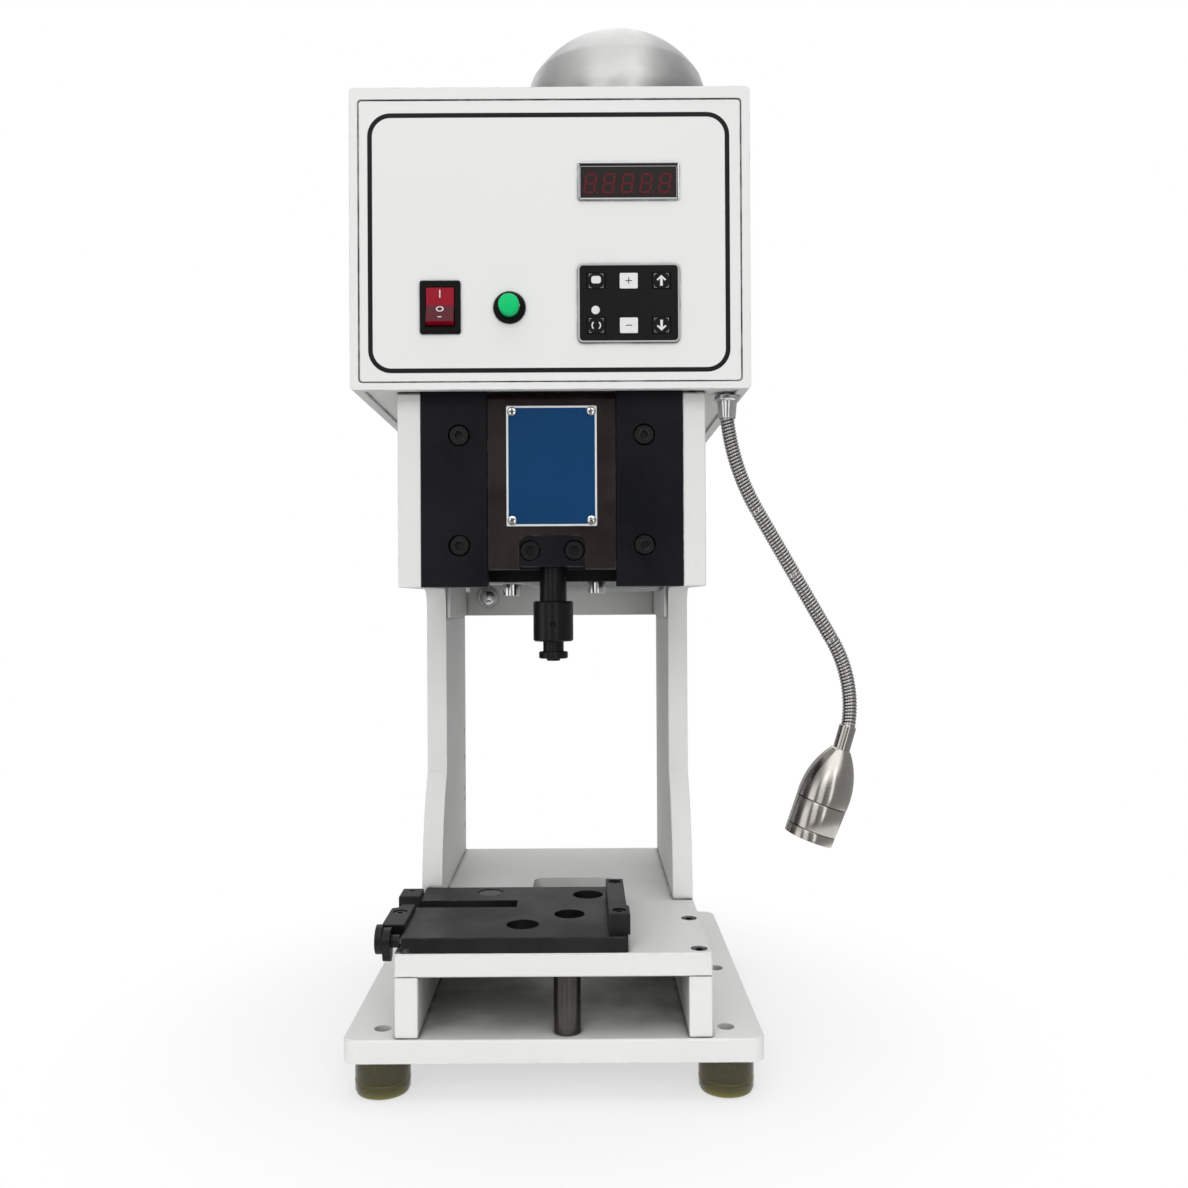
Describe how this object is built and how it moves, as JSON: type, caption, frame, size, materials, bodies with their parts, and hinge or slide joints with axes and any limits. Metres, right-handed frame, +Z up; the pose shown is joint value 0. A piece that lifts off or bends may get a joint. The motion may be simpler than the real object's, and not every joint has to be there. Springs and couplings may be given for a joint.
{
  "type": "terminal crimping machine",
  "caption": "Motor-driven bench press with a C-frame, guided ram, tee-headed drive rod, applicator plate, control box and gooseneck lamp, for crimping wire terminals.",
  "frame": {"origin": "where the ram axis meets the top face of the applicator plate", "axes": "+X to the operator's right, +Y away from the operator, +Z up along the ram axis"},
  "size_m": [0.338, 0.3056, 0.7789],
  "materials": {
    "white_paint": "satin",
    "black_steel": "satin",
    "ram_steel": "satin",
    "bright_steel": "polished",
    "dark_pillar": "satin",
    "amber_urethane": "translucent",
    "blue_enamel": "satin",
    "cast_aluminium": "cast",
    "spun_steel": "spun",
    "lamp_metal": "brushed",
    "lamp_glass": "clear",
    "chrome_trim": "polished",
    "dark_window": "gloss",
    "black_plastic": "satin",
    "white_plastic": "satin",
    "red_plastic": "translucent",
    "green_plastic": "gloss"
  },
  "bodies": {
    "frame": {"base_plate": "white_paint", "lower_rails": "white_paint", "table_plate": "white_paint", "side_plate_left": "white_paint", "side_plate_right": "white_paint", "rear_tie_plate": "white_paint", "box_shell": "white_paint", "box_floor": "white_paint", "front_panel": "white_paint", "rear_cover": "white_paint", "sensor_bracket": "white_paint", "guide_block_left": "black_steel", "guide_block_right": "black_steel", "applicator_plate": "black_steel", "stop_rail": "black_steel", "clamp_blocks": "black_steel", "socket_screws": "black_steel", "bearing_plate": "black_steel", "gearbox_plate": "black_steel", "foot_studs": "bright_steel", "shaft_bearings": "bright_steel", "bright_bolts": "bright_steel", "neck_fitting": "bright_steel", "support_pillar": "dark_pillar", "feet": "amber_urethane", "gearbox": "cast_aluminium", "motor": "cast_aluminium", "motor_cowl": "spun_steel", "display_bezel": "chrome_trim", "display_window": "dark_window", "keypad_plate": "black_plastic", "switch_bezel": "black_plastic", "button_bezel": "black_plastic", "rear_sockets": "black_plastic"},
    "ram": {"ram": "ram_steel", "rod_holder": "black_steel", "drive_rod": "black_steel", "ram_blue_plate": "blue_enamel", "ram_screws": "bright_steel"},
    "collar": {"adjusting_collar": "black_steel"},
    "tee": {"tee_head": "black_steel"},
    "crank": {"crankshaft": "bright_steel"},
    "slider": {"slider_block": "bright_steel"},
    "fan": {"motor_fan": "black_plastic"},
    "rocker": {"switch_rocker": "red_plastic"},
    "start_button": {"button_cap": "green_plastic"},
    "clamp": {"clamp_lever": "black_steel", "clamp_shaft": "bright_steel"},
    "neck_1": {"neck_upper": "bright_steel"},
    "neck_2": {"neck_middle": "bright_steel"},
    "neck_3": {"neck_lower": "bright_steel"},
    "neck_4": {"neck_end": "bright_steel"},
    "lamp": {"lamp_body": "lamp_metal", "lamp_lens": "lamp_glass"},
    "key_mode": {"key_mode": "black_plastic"},
    "key_plus": {"key_plus": "white_plastic"},
    "key_up": {"key_up": "black_plastic"},
    "key_reset": {"key_reset": "black_plastic"},
    "key_minus": {"key_minus": "white_plastic"},
    "key_down": {"key_down": "black_plastic"}
  },
  "joints": [
    {"name": "ram_slide", "type": "slide", "parent": "frame", "child": "ram", "axis": [0, 0, 1], "range_m": [-0.04, 0]},
    {"name": "crank_turn", "type": "hinge", "parent": "frame", "child": "crank", "pos_m": [0, 0.0249, 0.28], "axis": [0, 1, 0], "range_deg": [0, 180]},
    {"name": "slider_turn", "type": "hinge", "parent": "crank", "child": "slider", "pos_m": [0, 0.01, 0.3], "axis": [0, 1, 0], "range_deg": [-180, 0]},
    {"name": "fan_turn", "type": "hinge", "parent": "frame", "child": "fan", "pos_m": [0.05, 0.155, 0.58], "axis": [0, 0, 1], "range_deg": [0, 1800]},
    {"name": "collar_turn", "type": "hinge", "parent": "ram", "child": "collar", "pos_m": [0, 0, 0.2], "axis": [0, 0, 1], "range_deg": [-360, 360]},
    {"name": "tee_slide", "type": "slide", "parent": "ram", "child": "tee", "axis": [0, 0, 1], "range_m": [-0.0015, 0.0015]},
    {"name": "rocker_tip", "type": "hinge", "parent": "frame", "child": "rocker", "pos_m": [-0.0708, -0.0328, 0.404], "axis": [1, 0, 0], "range_deg": [0, 16]},
    {"name": "start_button_press", "type": "slide", "parent": "frame", "child": "start_button", "axis": [0, 1, 0], "range_m": [0, 0.003], "stiffness_N_per_m": 400, "springref_m": -0.001},
    {"name": "clamp_lever_turn", "type": "hinge", "parent": "frame", "child": "clamp", "pos_m": [-0.11, -0.037, -0.0034], "axis": [1, 0, 0], "range_deg": [-90, 0]},
    {"name": "neck_swivel", "type": "hinge", "parent": "frame", "child": "neck_1", "pos_m": [0.1173, -0.009, 0.336], "axis": [0, 0, 1], "range_deg": [-90, 60]},
    {"name": "neck_bend_high", "type": "hinge", "parent": "neck_1", "child": "neck_2", "pos_m": [0.13706, -0.009, 0.27462], "axis": [0, 1, 0], "range_deg": [-15, 4]},
    {"name": "neck_bend_middle", "type": "hinge", "parent": "neck_2", "child": "neck_3", "pos_m": [0.16184, -0.009, 0.23119], "axis": [0, 1, 0], "range_deg": [-15, 4]},
    {"name": "neck_bend_low", "type": "hinge", "parent": "neck_3", "child": "neck_4", "pos_m": [0.18661, -0.009, 0.18776], "axis": [0, 1, 0], "range_deg": [-15, 4]},
    {"name": "lamp_tilt", "type": "hinge", "parent": "neck_4", "child": "lamp", "pos_m": [0.1972, -0.009, 0.13037], "axis": [1, 0, 0], "range_deg": [-20, 20]},
    {"name": "key_mode_press", "type": "slide", "parent": "frame", "child": "key_mode", "axis": [0, 1, 0], "range_m": [0, 0.0005], "stiffness_N_per_m": 1500, "springref_m": -0.0002},
    {"name": "key_plus_press", "type": "slide", "parent": "frame", "child": "key_plus", "axis": [0, 1, 0], "range_m": [0, 0.0005], "stiffness_N_per_m": 1500, "springref_m": -0.0002},
    {"name": "key_up_press", "type": "slide", "parent": "frame", "child": "key_up", "axis": [0, 1, 0], "range_m": [0, 0.0005], "stiffness_N_per_m": 1500, "springref_m": -0.0002},
    {"name": "key_reset_press", "type": "slide", "parent": "frame", "child": "key_reset", "axis": [0, 1, 0], "range_m": [0, 0.0005], "stiffness_N_per_m": 1500, "springref_m": -0.0002},
    {"name": "key_minus_press", "type": "slide", "parent": "frame", "child": "key_minus", "axis": [0, 1, 0], "range_m": [0, 0.0005], "stiffness_N_per_m": 1500, "springref_m": -0.0002},
    {"name": "key_down_press", "type": "slide", "parent": "frame", "child": "key_down", "axis": [0, 1, 0], "range_m": [0, 0.0005], "stiffness_N_per_m": 1500, "springref_m": -0.0002}
  ],
  "couplings": [
    {"joint": "crank_turn", "follows": "ram_slide", "rad_per_m": -78.54},
    {"joint": "slider_turn", "follows": "ram_slide", "rad_per_m": 78.54},
    {"joint": "fan_turn", "follows": "ram_slide", "rad_per_m": -785.4},
    {"joint": "tee_slide", "follows": "collar_turn", "m_per_rad": 0.00023873}
  ]
}
